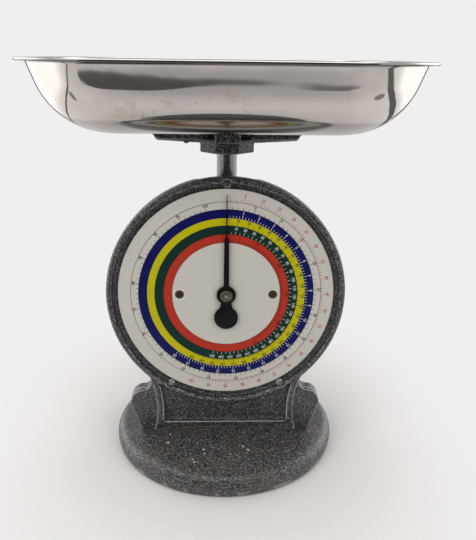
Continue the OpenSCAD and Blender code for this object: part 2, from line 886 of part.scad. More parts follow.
module rack_pin() {
    clevis_x = rack_root + rack_w / 2;
    color("silver") translate([clevis_x, 0, bar_top + 4]) {
        shaft(1.25, rack_back - 3.3, rack_front + 3);
        shaft(2, rack_front + 3, rack_front + 3.6);
    }
}

// Leaf spring that keeps the rack in mesh
module rack_spring() {
    side = rack_root + rack_w / 2 + 4.5;
    back = rack_root + rack_w;
    color("silver") {
        slab(rack_back + 0.5, rack_front - 0.5) polygon([[side, bar_top - bar_t + 0.5],
            [side + 0.4, bar_top - bar_t + 0.5], [side + 0.4, bar_top + 8.5], [back + 0.45, bar_top + 25],
            [back + 1.4, bar_top + 28], [back + 1, bar_top + 28.2], [back + 0.05, bar_top + 25],
            [side, bar_top + 8.2]]);
    }
}

module rack_spring_screw() {
    side = rack_root + rack_w / 2 + 4.5;
    color("silver") translate([side + 0.4, -(rack_front + rack_back) / 2, bar_top - 4.5]) rotate([0, 90, 0])
        cylinder(r=1.4, h=0.8);
}

// Rounded weld bead where the post runs out into the hub
module stem_fillet() {
    rotate_extrude() difference() {
        translate([stem_r - 1, hub_z - fillet_r]) square([fillet_r + 1, fillet_r]);
        translate([stem_r + fillet_r, hub_z - fillet_r]) circle(r=fillet_r);
    }
}

module stem() {
    color("dimgray") {
        translate([0, 0, yoke_top]) cylinder(r=stem_r, h=hub_z - yoke_top);
        translate([0, 0, hub_z - eps]) cylinder(r=stem_r - 1.2, h=14);
        translate([0, 0, yoke_top - yoke_t - 9]) cylinder(r=4, h=yoke_t + 9 + eps);
        stem_fillet();
    }
}

module stem_washer() {
    color("silver") translate([0, 0, yoke_top - yoke_t - 1.2]) difference() {
        cylinder(r=6, h=1.2);
        translate([0, 0, -over]) cylinder(r=4 + run_gap, h=4);
    }
}

module stem_nut() {
    color("silver") translate([0, 0, yoke_top - yoke_t - 7.2]) hex_nut(12.4, 4 + run_gap, 6);
}

// Cast arms with an eight-sided hub
module pan_support() {
    hub_h = 10.7;
    arm_low = hub_h - 3.6;
    color("dimgray") difference() {
        union() {
            translate([0, 0, hub_z]) rotate([0, 0, 22.5]) cylinder(r=hub_w / 2 / cos(22.5), h=hub_h, $fn=8);
            // Side arms: a deep face, a sloping underside and drawn-in ends
            both() slab(-arm_w / 2, arm_w / 2) polygon([[0, hub_z + hub_h - 0.4], [arm_x - 6, hub_z + hub_h],
                [arm_x - 3, hub_z + hub_h + 1.2], [arm_x, hub_z + hub_h + 4.4], [arm_x + 1, support_z],
                [0, support_z]]);
            both() slab(3.2 - arm_w / 2, arm_w / 2 - 3.2) polygon([[0, hub_z + arm_low],
                [hub_w / 2, hub_z + arm_low], [arm_x - 4, hub_z + arm_low + 1.9], [arm_x - 4.5, support_z],
                [0, support_z]]);
            translate([-arm_w / 2, -arm_y, hub_z + hub_h - 0.4])
                cube([arm_w, 2 * arm_y, support_h - hub_h + 0.4]);
        }
        translate([0, 0, hub_z - over]) cylinder(r=stem_r - 1.2 + run_gap, h=15.2);
        translate([0, 0, hub_z + 5]) shaft(2.5, -hub_w / 2 - over, -stem_r + 2);
    }
}

module support_screw() {
    color("gray") translate([0, 0, hub_z + 5]) difference() {
        shaft(2.45, -hub_w / 2 + 1, -stem_r + 1.1);
        translate([-slot_w / 2, hub_w / 2 - 2.2, -4]) cube([slot_w, 3, 8]);
    }
}

module arbor() {
    color("silver") translate([0, 0, dial_h]) {
        shaft(1.4, pointer_back - eps, pointer_front + 2.6);
        shaft(arbor_r, pinion_front, pointer_back);
        shaft(pinion_bore, 8.6, pinion_front + eps);
    }
}

// Slim teeth, so that they pass the rack's with a little play
module pinion() {
    root = pinion_r - 1.28 * tooth_m;
    tip = pinion_r + 0.85 * tooth_m;
    teeth = [
        for (k = [0:pinion_teeth - 1]) let (a = 360 * k / pinion_teeth)
            each [[root, a - 10], [pinion_r, a - 6.1], [tip, a - 2.4], [tip, a + 2.4], [pinion_r, a + 6.1],
                  [root, a + 10]]
    ];
    color("goldenrod") translate([0, 0, dial_h]) difference() {
        slab(pinion_back, pinion_front) polygon([for (t = teeth) [t[0] * cos(t[1]), t[0] * sin(t[1])]]);
        shaft(pinion_bore, pinion_back - over, pinion_front + over);
    }
}

// Needle, broad blade, round hub, neck and round tail
module pointer() {
    blade_end = pointer_len - 37;
    color("black") translate([0, 0, dial_h]) difference() {
        union() {
            shaft(pointer_hub_r, pointer_back, pointer_front);
            translate([0, 0, -pointer_tail_d]) shaft(pointer_tail_r, pointer_back, pointer_front);
            slab(pointer_back, pointer_front) polygon([[-4.9, 0], [-4.6, -8], [-6, 5 - pointer_tail_d],
                [6, 5 - pointer_tail_d], [4.6, -8], [4.9, 0]]);
            slab(pointer_back, pointer_front) polygon([[-2.3, 0], [-1.9, blade_end], [-0.7, blade_end + 2.6],
                [-0.35, pointer_len], [0.35, pointer_len], [0.7, blade_end + 2.6], [1.9, blade_end],
                [2.3, 0]]);
        }
        shaft(1.4, pointer_back - over, pointer_front + over);
    }
}

module pointer_nut() {
    color("goldenrod") translate([0, -pointer_front, dial_h]) rotate([90, 0, 0]) {
        difference() {
            cylinder(r=5, h=1.9);
            translate([0, 0, -over]) cylinder(r=1.4, h=4);
        }
    }
}

// Section of the pan's wall and flange, drawn as distance from the corner's centre and height
module pan_section() {
    mid_x = pan_floor_r;
    mid_z = pan_z + pan_curve_r;
    lean_x = mid_x + curve_run;
    lean_z = pan_z + curve_rise;
    // Curved part
    intersection() {
        difference() {
            translate([mid_x, mid_z]) circle(pan_curve_r, $fn=200);
            translate([mid_x, mid_z]) circle(pan_curve_r - pan_t, $fn=200);
        }
        polygon([[mid_x, mid_z], [mid_x, pan_z - over], [lean_x + 20, pan_z - over],
                 [lean_x + 20, lean_z - 20 * tan(pan_lean)], [lean_x, lean_z]]);
    }
    // Leaning wall
    polygon([[lean_x, lean_z], [pan_body_r, pan_top], [pan_body_r - pan_t, pan_top],
             [lean_x - pan_t * cos(pan_lean), lean_z + pan_t * sin(pan_lean)]]);
    // Flange and its rolled edge
    translate([pan_body_r - pan_t, pan_top - pan_t]) square([pan_flange - pan_bead_r + pan_t, pan_t]);
    translate([pan_corner_r - pan_bead_r, pan_top - pan_bead_r]) circle(pan_bead_r);
}

module pan() {
    color("lightgray") {
        for (a = [0, 180]) rotate([0, 0, a]) {
            translate([pan_cx, pan_cy, 0]) rotate_extrude(angle=90, $fn=160) pan_section();
            translate([-pan_cx, pan_cy, 0]) rotate([0, 0, 90])
                rotate_extrude(angle=90, $fn=160) pan_section();
            translate([-pan_cx, pan_cy, 0]) rotate([90, 0, 90]) linear_extrude(2 * pan_cx) pan_section();
            translate([pan_cx, pan_cy, 0]) rotate([90, 0, 0]) linear_extrude(2 * pan_cy) pan_section();
        }
        translate([0, 0, pan_z]) linear_extrude(pan_t) {
            square([2 * pan_cx + 2 * pan_floor_r, 2 * pan_cy], center=true);
            square([2 * pan_cx, 2 * pan_cy + 2 * pan_floor_r], center=true);
            for (x = [-1, 1], y = [-1, 1]) translate([x * pan_cx, y * pan_cy]) circle(pan_floor_r);
        }
    }
}

base();
feet();
base_bolts();
front_housing();
bezel_screws();
rear_housing();
back_cover();
cover_screws();
dial_plate();
dial_screws();
front_plate();
rear_plate();
frame_pillars();
frame_nuts();
frame_screws();
front_bush();
arbor_bridge();
rear_bush();
bridge_screws();
lever_pivots();
zero_bush();
zero_screw();
zero_knob();
hanger();
top_plugs();
top_nuts();
left_spring();
right_spring();
bottom_plugs();
bottom_nuts();
carriage();
carriage_pins();
rack();
rack_pin();
rack_spring();
rack_spring_screw();
stem();
stem_washer();
stem_nut();
pan_support();
support_screw();
upper_lever();
lower_lever();
arbor();
pinion();
pointer();
pointer_nut();
pan();
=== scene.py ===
"""Looks of the counter coin scale: painted castings, printed dial, pointer and polished pan around the CAD frame."""

import math

import bmesh
import bpy
import numpy as np
from mathutils import Matrix, Vector, noise

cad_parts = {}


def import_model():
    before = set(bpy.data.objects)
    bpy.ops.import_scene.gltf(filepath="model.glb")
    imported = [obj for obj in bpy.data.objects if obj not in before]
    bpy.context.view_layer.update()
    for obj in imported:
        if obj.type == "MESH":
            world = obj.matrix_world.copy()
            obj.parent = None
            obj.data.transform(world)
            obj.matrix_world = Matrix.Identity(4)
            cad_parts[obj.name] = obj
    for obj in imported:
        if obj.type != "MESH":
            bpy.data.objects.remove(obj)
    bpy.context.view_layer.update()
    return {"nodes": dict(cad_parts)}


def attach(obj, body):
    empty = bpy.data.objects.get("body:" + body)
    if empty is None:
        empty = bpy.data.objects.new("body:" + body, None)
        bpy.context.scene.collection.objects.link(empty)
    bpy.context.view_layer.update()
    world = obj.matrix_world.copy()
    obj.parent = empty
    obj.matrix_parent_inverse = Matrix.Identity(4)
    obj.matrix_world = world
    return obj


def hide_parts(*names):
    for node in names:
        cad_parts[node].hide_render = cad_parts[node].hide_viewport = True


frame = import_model()
NODES = frame["nodes"]
MM = 0.001

# Places taken from the CAD source, in millimetres
DIAL_Z = 144.2
DIAL_FACE = -29.5
HUB_Z = 259.35
PAN_Z = 279.25
PAN_TOP = 332.25
PAN_CX = 77.0
PAN_CY = 41.0
PAN_CORNER = 76.0


def srgb(r, g, b):
    """Linear colour of an sRGB one given as 0 to 255."""
    def one(v):
        v /= 255
        return v / 12.92 if v <= 0.04045 else ((v + 0.055) / 1.055) ** 2.4
    return (one(r), one(g), one(b), 1.0)


def grey(v):
    """A colour that stands for one number, such as a roughness."""
    return (v, v, v, 1.0)


def linked(name, data):
    """A new object in the scene."""
    o = bpy.data.objects.new(name, data)
    bpy.context.scene.collection.objects.link(o)
    return o


def as_mesh(bm, name):
    """The mesh of a bmesh, which is freed."""
    mesh = bpy.data.meshes.new(name)
    bm.to_mesh(mesh)
    bm.free()
    return mesh


class Nodes:
    """A node tree with short ways to add and join nodes."""

    def __init__(self, tree, coordinates):
        self.tree = tree
        tree.nodes.clear()
        self.where = self.add("TexCoord").outputs[coordinates]

    def put(self, socket, value):
        """Joins another node's output to a socket, or sets a plain value on it."""
        if isinstance(value, bpy.types.NodeSocket):
            self.tree.links.new(value, socket)
        else:
            socket.default_value = value

    def add(self, kind, inputs=None, **props):
        node = self.tree.nodes.new("ShaderNode" + kind)
        for key, value in props.items():
            setattr(node, key, value)
        for key, value in (inputs or {}).items():
            self.put(node.inputs[key], value)
        return node

    def math(self, op, a, b=0.0, clamp=False):
        return self.add("Math", {0: a, 1: b}, operation=op, use_clamp=clamp).outputs[0]

    def plus(self, a, b):
        return self.math("ADD", a, b)

    def minus(self, a, b):
        return self.math("SUBTRACT", a, b)

    def times(self, a, *others):
        for b in others:
            a = self.math("MULTIPLY", a, b)
        return a

    def most(self, a, b):
        return self.math("MAXIMUM", a, b)

    def vector(self, op, a, b):
        return self.add("VectorMath", {0: a, 1: b}, operation=op).outputs[0]

    def length(self, v):
        return self.add("VectorMath", {0: v}, operation="LENGTH").outputs["Value"]

    def axes(self, v):
        """The x, y and z of a vector."""
        return self.add("SeparateXYZ", {0: v}).outputs

    def step(self, value, zero, one):
        """0 up to one place and 1 from the other, smooth between. Either may be the higher."""
        return self.add("MapRange", {"Value": value, "From Min": zero, "From Max": one},
                        interpolation_type="SMOOTHSTEP").outputs[0]

    def between(self, value, rise, fall):
        """1 between a rise and a fall, each given by its two ends in rising order."""
        return self.times(self.step(value, *rise), self.step(value, fall[1], fall[0]))


class Mat(Nodes):
    """A material of one principled shader, with its textures placed by the object's own coordinates."""

    def __init__(self, name):
        self.material = bpy.data.materials.new(name)
        self.material.use_nodes = True
        super().__init__(self.material.node_tree, "Object")
        self.out = self.add("OutputMaterial")
        self.bsdf = self.add("BsdfPrincipled")
        self.show(self.bsdf)

    def show(self, shader):
        self.put(self.out.inputs[0], shader.outputs[0])

    def set(self, **values):
        """Sets sockets of the principled shader, named with underscores for spaces."""
        for key, value in values.items():
            self.put(self.bsdf.inputs[key.replace("_", " ")], value)

    def noise(self, scale, detail=3.0, rough=0.55, where=None, distort=0.0):
        return self.add("TexNoise", {"Vector": self.where if where is None else where, "Scale": scale,
                                     "Detail": detail, "Roughness": rough, "Distortion": distort}).outputs[0]

    def cells(self, scale):
        return self.add("TexVoronoi", {"Vector": self.where, "Scale": scale}).outputs

    def ramp(self, fac, *stops):
        """Colour that follows a value, by stops of (value, colour)."""
        node = self.add("ValToRGB", {"Fac": fac})
        elements = node.color_ramp.elements
        while len(elements) < len(stops):
            elements.new(0.5)
        for element, (place, colour) in zip(elements, stops):
            element.position = place
            element.color = colour
        return node.outputs["Color"]

    def mix(self, fac, a, b):
        """Colour a where the factor is 0 and b where it is 1."""
        node = self.add("Mix", data_type="RGBA")
        for socket, value in ((0, fac), (6, a), (7, b)):
            self.put(node.inputs[socket], value)
        return node.outputs[2]

    def bump(self, height, distance, strength):
        return self.add("Bump", {"Height": height, "Distance": distance, "Strength": strength}).outputs[0]

    def facing_up(self):
        """1 where the surface looks up, -1 where it looks down."""
        return self.axes(self.add("NewGeometry").outputs["Normal"])[2]

    def height(self):
        return self.axes(self.where)[2]

    def oval(self, at, long, wide, turn):
        """Distance from the middle of a turned oval, 1 at its rim, for a place given from that middle."""
        at = self.add("Mapping", {"Vector": at, "Rotation": (0.0, 0.0, -math.radians(turn))}).outputs[0]
        return self.length(self.vector("MULTIPLY", at, (1.0 / long, 1.0 / wide, 0.0)))


def hammered(name, edge, brown=0.15, gloss=0.8, coat=0.0, worn_where=None, detail=None):
    """Dark hammered paint on a rough casting: speckled, browned in places, worn pale along the edges.

    Worn_where is a function that says how far the edges wear at each place, and detail one that changes the
    colour last."""
    cell_rate, grain_rate, brown_rate, patch_rate = 820.0, 1500.0, 60.0, 260.0
    k = Mat(name)
    cells = k.cells(cell_rate)["Distance"]
    grain = k.noise(grain_rate, 4.0, 0.65)
    speckle = k.plus(k.times(cells, 0.58), k.times(grain, 0.62))
    colour = k.ramp(speckle, (0.38, srgb(4, 4, 4)), (0.50, srgb(16, 15, 15)), (0.61, srgb(37, 36, 36)),
                    (0.75, srgb(110, 109, 109)))
    browned = k.step(k.noise(brown_rate, 5.0, 0.65), 0.42, 0.72)
    colour = k.mix(k.times(browned, brown), colour, srgb(84, 68, 54))
    if edge:
        wear = k.add("Attribute", attribute_name="wear").outputs["Fac"]
        worn = k.times(k.step(wear, 0.12, 0.20), k.step(k.noise(patch_rate, 3.0, 0.6), 0.26, 0.50))
        if worn_where:
            worn = k.times(worn, worn_where(k))
        colour = k.mix(k.times(worn, edge), colour, srgb(186, 183, 178))
    if detail:
        colour = detail(k, colour)
    relief = k.plus(k.times(cells, 0.8), k.times(grain, 0.8))
    k.set(Base_Color=colour, Normal=k.bump(relief, 0.00030, 0.6),
          Roughness=k.ramp(grain, (0.3, grey(0.24)), (0.7, grey(0.42))),
          Specular_IOR_Level=gloss, Coat_Weight=coat, Coat_Roughness=0.16, Coat_IOR=1.9)
    return k.material


def outer_rim(k):
    """The bezel wears fully outside its bead, and in broken flecks within."""
    bead_end, rim_start, within = 0.101, 0.104, 0.7
    from_dial = k.vector("SUBTRACT", k.where, (0.0, 0.0, DIAL_Z * MM))
    flecks = k.step(k.noise(430.0, 2.0, 0.5), 0.50, 0.60)
    return k.most(k.step(k.length(from_dial), bead_end, rim_start), k.times(flecks, within))


def crest_line(k, colour):
    """A flecked line along the bottom of the bezel's bead."""
    crest, line_edge, line_core, strength = 0.0962, 0.0013, 0.0006, 0.75
    from_dial = k.vector("SUBTRACT", k.where, (0.0, 0.0, DIAL_Z * MM))
    in_plane = k.vector("MULTIPLY", from_dial, (1.0, 0.0, 1.0))
    off = k.math("ABSOLUTE", k.minus(k.length(in_plane), crest))
    low = k.step(k.axes(in_plane)[2], -0.066, -0.076)
    flecks = k.step(k.noise(620.0, 2.0, 0.5), 0.48, 0.60)
    return k.mix(k.times(k.step(off, line_edge, line_core), flecks, low, strength), colour, srgb(168, 165, 160))


def rubbed_low(k, colour):
    """Light rubbing on the two low screws of the bezel. The top one is painted over."""
    above, below, strength = 0.100, 0.096, 0.85
    rubbed = k.times(k.step(k.height(), above, below), k.step(k.noise(500.0, 2.0, 0.5), 0.36, 0.52))
    return k.mix(k.times(rubbed, strength), colour, srgb(150, 147, 142))


def thin_below(k, colour):
    """Painted light on the sloping undersides of the pan's support, made lighter where the pale floor lights them."""
    upright, sloping, strength = -0.30, -0.55, 0.55
    return k.mix(k.times(k.step(k.facing_up(), upright, sloping), strength), colour, srgb(132, 131, 130))


# Chips on the foot's crown: place in millimetres, length against width, and turn in degrees
CHIPS = ((-47.0, -38.9, 1.2, 0), (-48.4, -49.4, 2.4, 10), (-18.2, -60.4, 1.1, 0), (-17.3, -65.1, 0.9, 40),
         (-27.0, -71.4, 0.9, 0), (-25.6, -74.5, 1.2, 60), (15.0, -57.0, 1.5, -20), (18.7, -60.9, 1.9, -40),
         (-23.5, -52.1, 0.7, 0), (3.7, -66.3, 0.7, 0), (31.0, 42.0, 1.8, 30), (-36.0, 58.0, 1.2, 70))


def chipped(k, colour):
    """Chips on the foot's crown, and flakes lost along its lower edge."""
    ragged, rim, core = 0.0022, 0.0009, 0.0005
    flake_top, flake_full, flake_strength = 0.0052, 0.0040, 0.7
    edges = k.add("TexNoise", {"Vector": k.where, "Scale": 900.0, "Detail": 2.0}).outputs["Color"]
    edges = k.vector("MULTIPLY", edges, (ragged, ragged, 0.0))
    near = None
    for x, y, length, turn in CHIPS:
        at = k.vector("SUBTRACT", k.where, (x * MM + ragged / 2, y * MM + ragged / 2, 0.0))
        far = k.oval(k.vector("ADD", at, edges), length, 1.0, turn)
        near = far if near is None else k.math("MINIMUM", near, far)
    colour = k.mix(k.step(near, rim, core), colour, srgb(206, 196, 180))
    flakes = k.times(k.step(k.height(), flake_top, flake_full), k.step(k.noise(75.0, 3.0, 0.55), 0.54, 0.60))
    return k.mix(k.times(flakes, flake_strength), colour, srgb(150, 146, 140))


def steel():
    """Polished stainless sheet with fine scratches, water marks and a few yellowish stains.

    It is hazier low down, where a cloth seldom reaches, and painted darker there and on its underside, a painted shade
    on what it reflects; a painted shade darkens the crease below the flange."""
    line_rate, line_stretch, cloud_rate, stain_rate, pit_rate, wave_rate = 420.0, 9.0, 16.0, 38.0, 140.0, 26.0
    stain_place, stain_spread = (-0.034, -0.105, 0.300), (13.0, 18.0, 55.0)
    crease_start, crease_end = (0.3288, 0.3302), (0.3308, 0.3322)
    underside_fade, haze_and_shade_fade = (0.2855, 0.2815), (0.2930, 0.2895)
    k = Mat("polished_steel")
    height = k.height()
    stretched = k.add("Mapping", {"Vector": k.where, "Scale": (1.0, 1.0, line_stretch)}).outputs[0]
    lines = k.noise(line_rate, 3.0, 0.7, stretched)
    cloud = k.noise(cloud_rate, 4.0, 0.6, distort=0.6)
    from_stain = k.length(k.vector("MULTIPLY", k.vector("SUBTRACT", k.where, stain_place), stain_spread))
    stains = k.step(k.noise(stain_rate, 5.0, 0.62, distort=1.4), 0.53, 0.61)
    stains = k.times(stains, k.step(from_stain, 1.1, 0.5))
    # Only a few of the cells hold a pit
    cells = k.cells(pit_rate)
    chosen = k.step(k.add("SeparateColor", {0: cells["Color"]}).outputs[0], 0.93, 0.95)
    pits = k.times(k.step(cells["Distance"], 0.07, 0.03), chosen)
    # Painted shade: a dark line in the crease below the flange
    crease = k.times(k.between(height, crease_start, crease_end), k.step(k.facing_up(), 0.05, -0.15))
    # Painted shade: the underside and the low part are painted darker, which dims what they reflect; the low part is
    # also rougher
    underside = k.step(height, *underside_fade)
    haze_and_shade = k.step(height, *haze_and_shade_fade)
    colour = k.ramp(cloud, (0.3, srgb(200, 196, 193)), (0.7, srgb(213, 209, 205)))
    for mask, amount, tint in ((stains, 0.32, srgb(176, 166, 130)), (pits, 1.0, srgb(70, 60, 50)),
                               (crease, 0.85, srgb(58, 52, 46)), (underside, 0.5, srgb(136, 137, 140)),
                               (haze_and_shade, 0.40, srgb(110, 106, 102))):
        colour = k.mix(k.times(mask, amount), colour, tint)
    rough = 0.02
    for mask, amount in ((lines, 0.03), (cloud, 0.035), (stains, 0.10), (haze_and_shade, 0.09)):
        rough = k.plus(k.times(mask, amount), rough)
    k.set(Base_Color=colour, Metallic=1.0, Roughness=rough,
          Normal=k.bump(k.noise(wave_rate, 2.0, 0.5), 0.0006, 0.12))
    return k.material


def enamel(name, colour, dirt):
    """Printed enamel: a little uneven, with faint stains and tiny chips."""
    cloud_rate, fine_rate, darker = 22.0, 420.0, 0.80
    k = Mat(name)
    cloud = k.noise(cloud_rate, 4.0, 0.6)
    fine = k.noise(fine_rate, 3.0, 0.6)
    stained = [c * darker for c in colour[:3]] + [1.0]
    shade = k.mix(k.times(k.step(cloud, 0.45, 0.8), dirt), colour, stained)
    shade = k.mix(k.times(k.step(fine, 0.62, 0.75), dirt * 0.6), shade, stained)
    k.set(Base_Color=shade, Roughness=k.ramp(cloud, (0.3, grey(0.30)), (0.7, grey(0.42))),
          Specular_IOR_Level=0.2, Normal=k.bump(k.plus(cloud, k.times(fine, 0.05)), 0.0004, 0.08))
    return k.material


def metal(name, colour, dark, rough, scale, wear, metallic=1.0):
    """Plain worked metal with tarnish in patches and a fine machined grain."""
    k = Mat(name)
    patch = k.noise(scale, 5.0, 0.65)
    grain = k.noise(scale * 8, 2.0, 0.5)
    shade = k.mix(k.times(k.step(patch, 0.42, 0.68), wear), colour, dark)
    dulled = k.plus(k.times(patch, 0.25), rough - 0.1)
    k.set(Base_Color=shade, Metallic=metallic, Roughness=k.plus(dulled, k.times(grain, 0.06)),
          Normal=k.bump(grain, 0.00005, 0.4))
    return k.material


def matt(name, colour, light, rough=0.5, scale=300.0, amount=0.4):
    """Matt paint, ink or rubber with dust and a fine grain."""
    k = Mat(name)
    patch = k.noise(scale, 4.0, 0.6)
    shade = k.mix(k.times(k.step(patch, 0.5, 0.75), amount), colour, light)
    k.set(Base_Color=shade, Roughness=k.plus(k.times(patch, 0.2), rough - 0.1), Specular_IOR_Level=0.2,
          Normal=k.bump(patch, 0.0001, 0.5))
    return k.material


PAINT = hammered("hammered_paint", 0.85)
PAINT_FRONT = hammered("hammered_paint_front", 0.85, worn_where=outer_rim, detail=crest_line)
PAINT_PLAIN = hammered("hammered_paint_plain", 0.0)
PAINT_SCREWS = hammered("hammered_paint_screws", 0.0, detail=rubbed_low)
# The support's sloping undersides get painted light from the floor below
PAINT_SUPPORT = hammered("hammered_paint_support", 0.3, gloss=0.35, detail=thin_below)
PAINT_POST = hammered("hammered_paint_post", 0.3, coat=0.75)
PAINT_BASE = hammered("hammered_paint_foot", 0.7, brown=0.48, detail=chipped)
STEEL = steel()
CREAM = enamel("dial_cream", srgb(199, 196, 188), 0.15)
CHALK = enamel("screw_ring_white", srgb(214, 211, 205), 0.3)
BLUE = enamel("ring_blue", srgb(4, 11, 84), 0.3)
YELLOW = enamel("ring_yellow", srgb(188, 181, 3), 0.15)
GREEN = enamel("ring_green", srgb(6, 46, 37), 0.3)
RED = enamel("ring_red", srgb(176, 48, 30), 0.2)
BLACK_INK = matt("ink_black", srgb(18, 18, 20), srgb(48, 48, 48))
WHITE_INK = matt("ink_white", srgb(196, 198, 196), srgb(160, 162, 158))
RED_INK = matt("ink_red", srgb(184, 66, 62), srgb(176, 100, 94))
DARK_RED_INK = matt("ink_dark_red", srgb(70, 14, 12), srgb(100, 30, 26))
POINTER_BLACK = matt("pointer_black", srgb(9, 9, 10), srgb(30, 30, 30), 0.42, 500.0, 0.5)
RUBBER = matt("rubber", srgb(26, 26, 27), srgb(60, 58, 56), 0.75, 220.0, 0.35)
BRASS = metal("dull_brass", srgb(132, 122, 98), srgb(64, 58, 46), 0.38, 420.0, 0.6)
RUSTY = metal("rusty_screw", srgb(78, 56, 40), srgb(26, 18, 13), 0.55, 700.0, 0.8, 0.35)
ZINC = metal("zinc_plate", srgb(176, 176, 174), srgb(120, 120, 116), 0.34, 160.0, 0.5)
SPRING = metal("spring_wire", srgb(120, 120, 124), srgb(70, 70, 74), 0.3, 300.0, 0.4)

# CAD nodes that keep their own mesh, by material
KEPT = (
    (RUBBER, ("feet",)),
    (PAINT_SCREWS, ("bezel_screws",)),
    (PAINT_PLAIN, ("back_cover",)),
    (CREAM, ("dial_plate",)),
    (RUSTY, ("dial_screws", "support_screw")),
    (BRASS, ("front_bush", "rear_bush", "zero_bush", "zero_knob", "rack", "pinion", "pointer_nut")),
    (SPRING, ("left_spring", "right_spring", "rack_spring")),
    (ZINC, ("base_bolts", "cover_screws", "front_plate", "rear_plate", "frame_pillars", "frame_nuts", "frame_screws",
            "arbor_bridge", "bridge_screws", "lever_pivots", "zero_screw", "hanger", "top_plugs", "top_nuts",
            "bottom_plugs", "bottom_nuts", "carriage", "carriage_pins", "rack_pin", "rack_spring_screw",
            "stem_washer", "stem_nut", "upper_lever", "lower_lever", "arbor")),
)


def paint(obj, material):
    obj.data.materials.clear()
    obj.data.materials.append(material)


def piece(name, mesh, material, body, instead=()):
    """A visible piece that rides on a body, takes the material it is given, and may stand for CAD nodes."""
    o = linked(name, mesh)
    paint(o, material)
    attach(o, body)
    if instead:
        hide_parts(*instead)


def evaluated(mesh, *modifiers):
    """The mesh after some modifiers, each given as (type, {settings})."""
    o = linked("work", mesh)
    for kind, settings in modifiers:
        mod = o.modifiers.new(kind, kind)
        for key, value in settings.items():
            setattr(mod, key, value)
    graph = bpy.context.evaluated_depsgraph_get()
    graph.update()
    out = bpy.data.meshes.new_from_object(o.evaluated_get(graph))
    bpy.data.objects.remove(o)
    return out


def smooth(mesh):
    mesh.polygons.foreach_set("use_smooth", [True] * len(mesh.polygons))
    mesh.update()


def welded(node, more=None):
    """A copy of a CAD node's mesh with its split corners joined, and what the function more adds."""
    mesh = NODES[node].data.copy()
    bm = bmesh.new()
    bm.from_mesh(mesh)
    bmesh.ops.remove_doubles(bm, verts=bm.verts, dist=0.01 * MM)
    if more:
        more(bm)
    bm.to_mesh(mesh)
    bm.free()
    return mesh


def mark_wear(mesh, rounds):
    """Stores in millimetres how far each point stands proud of its surroundings, for paint worn along edges."""
    n = len(mesh.vertices)
    co = np.empty(n * 3)
    mesh.vertices.foreach_get("co", co)
    co = co.reshape(n, 3)
    ends = np.empty(len(mesh.edges) * 2, dtype=np.int64)
    mesh.edges.foreach_get("vertices", ends)
    a, b = ends[0::2], ends[1::2]
    count = np.maximum(np.bincount(ends, minlength=n), 1)
    soft = co.copy()
    for _ in range(rounds):
        for axis in range(3):
            total = np.bincount(a, soft[b, axis], n) + np.bincount(b, soft[a, axis], n)
            soft[:, axis] = (soft[:, axis] + total / count) / 2
    normal = np.empty(n * 3)
    mesh.vertex_normals.foreach_get("vector", normal)
    proud = ((co - soft) * normal.reshape(n, 3)).sum(axis=1) / MM
    mesh.attributes.new("wear", "FLOAT", "POINT").data.foreach_set("value", proud.astype(np.float32))


def casting(node, name, body, material, voxel, rounds, keep, rough, more=None):
    """Rough casting: the CAD solid with its edges rounded by thick paint and its faces a little uneven.

    Voxel and rough are in millimetres, and keep is the share of faces left. More is a function that adds small
    closed shapes, which the remesh joins to the solid."""
    wear_reach, coarse, fine = 2.9, 90.0, 240.0
    mesh = evaluated(
        welded(node, more),
        ("REMESH", {"mode": "VOXEL", "voxel_size": voxel * MM}),
        ("SMOOTH", {"factor": 0.5, "iterations": rounds}),
    )
    mark_wear(mesh, round(wear_reach / voxel ** 2))
    for v, normal in zip(mesh.vertices, [v.normal.copy() for v in mesh.vertices]):
        uneven = noise.noise(v.co * coarse) + 0.5 * noise.noise(v.co * fine)
        v.co += normal * uneven * rough * MM
    mesh = evaluated(mesh, ("DECIMATE", {"ratio": keep}))
    smooth(mesh)
    piece(name, mesh, material, body, (node,))


def bevelled(node, name, body, material, width):
    """A CAD node's mesh with small rounded edges."""
    mesh = evaluated(welded(node), ("BEVEL", {"width": width * MM, "segments": 2, "limit_method": "ANGLE",
                                              "angle_limit": math.radians(35)}))
    smooth(mesh)
    piece(name, mesh, material, body, (node,))


def arm_slopes(bm):
    """Sloping undersides of the support's side arms, and a run of paint below the left one."""
    # Each section: how far out along the arm, and the slope's lower and upper edges above HUB_Z
    sections = ((12.0, 7.2, 10.6), (56.0, 9.0, 10.9), (58.5, 10.2, 12.2))
    near_y, far_y, into_arm = 6.4, 9.8, 0.4
    drop_place, drop_shape, drop_radius = (-33.2, -7.0, HUB_Z + 7.7), (1.7, 1.2, 1.0, 1.0), 1.2
    for side in (-1, 1):
        for face in (-1, 1):
            rows = []
            for x, low, high in sections:
                rows.append([bm.verts.new((side * x * MM, face * y * MM, (HUB_Z + z) * MM))
                             for y, z in ((near_y, low), (far_y, high), (near_y, high + into_arm))])
            faces = [tuple(rows[0]), tuple(reversed(rows[-1]))]
            for p, q in zip(rows, rows[1:]):
                for i in range(3):
                    j = (i + 1) % 3
                    faces.append((p[i], p[j], q[j], q[i]))
            made = [bm.faces.new(f) for f in faces]
            bmesh.ops.recalc_face_normals(bm, faces=made)
    drop = Matrix.Translation([v * MM for v in drop_place]) @ Matrix.Diagonal(drop_shape)
    bmesh.ops.create_icosphere(bm, subdivisions=3, radius=drop_radius * MM, matrix=drop)


def flat_ring(bm, inner, outer, y, steps=256):
    """Flat ring round the dial's centre, radii in millimetres."""
    rows = []
    for r in (inner, outer):
        rows.append([bm.verts.new((r * math.sin(a) * MM, y * MM, (DIAL_Z + r * math.cos(a)) * MM))
                     for a in (2 * math.pi * i / steps for i in range(steps))])
    for i in range(steps):
        j = (i + 1) % steps
        bm.faces.new((rows[0][i], rows[0][j], rows[1][j], rows[1][i]))


